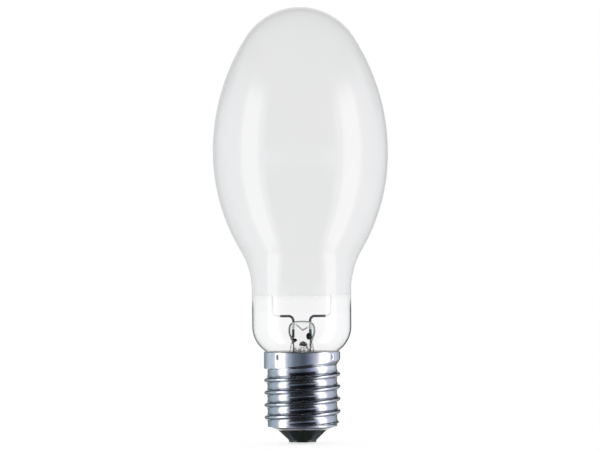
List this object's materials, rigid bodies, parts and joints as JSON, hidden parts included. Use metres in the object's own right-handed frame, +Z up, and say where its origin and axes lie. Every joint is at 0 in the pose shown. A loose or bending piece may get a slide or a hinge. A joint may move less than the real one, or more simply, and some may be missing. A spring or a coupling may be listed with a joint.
{
  "type": "high pressure sodium lamp",
  "caption": "Elliptical coated discharge lamp with a clear neck, a glass stem with wires, and a large nickel screw cap.",
  "frame": {"origin": "centre of the underside of the centre contact, on the lamp's axis", "axes": "+Z up the lamp's axis from the cap to the crown of the bulb, +X towards the long frame rod, -Y towards the side that the vent in the stem faces"},
  "size_m": [0.09, 0.09, 0.224],
  "materials": {
    "bulb_glass": "clear blown glass, coated inside from the crown to the neck with a white diffusing powder",
    "stem_glass": "clear fused glass",
    "cap_nickel": "nickel-plated brass sheet, bright",
    "insulator_glass": "black moulded glass",
    "contact_metal": "plated brass disc",
    "solder": "soft solder, slightly dull",
    "lead_wire": "oxidised nickel wire, dark grey",
    "flexible_lead": "drawn nickel wire",
    "frame_wire": "nickel-plated steel wire",
    "support_metal": "stainless strip",
    "spring_metal": "spring steel strip",
    "alumina": "translucent sintered alumina",
    "sealing_glass": "fused sealing frit",
    "niobium": "drawn niobium tube, satin",
    "tungsten": "sintered tungsten, grey",
    "amalgam": "silvery sodium amalgam",
    "getter_metal": "pressed steel ring, dull"
  },
  "bodies": {
    "root": {"outer_bulb": "bulb_glass", "stem_flare": "stem_glass", "exhaust_tube": "stem_glass", "lead_rod_left": "lead_wire", "lead_rod_right": "lead_wire", "contact_lead": "flexible_lead", "shell_lead": "flexible_lead", "cap_shell": "cap_nickel", "cap_insulator": "insulator_glass", "centre_contact": "contact_metal", "centre_solder": "solder", "side_solder": "solder", "frame_rod_short": "frame_wire", "frame_rod_long": "frame_wire", "support_strip_lower": "support_metal", "support_strip_upper": "support_metal", "expansion_strap": "support_metal", "dome_spring": "spring_metal", "arc_tube": "alumina", "end_plug_lower": "alumina", "end_plug_upper": "alumina", "sealing_ring_lower": "sealing_glass", "sealing_ring_upper": "sealing_glass", "niobium_tube_lower": "niobium", "niobium_tube_upper": "niobium", "electrode_lower": "tungsten", "electrode_upper": "tungsten", "amalgam_dose": "amalgam", "getter_ring": "getter_metal", "getter_holder": "support_metal"}
  },
  "joints": []
}
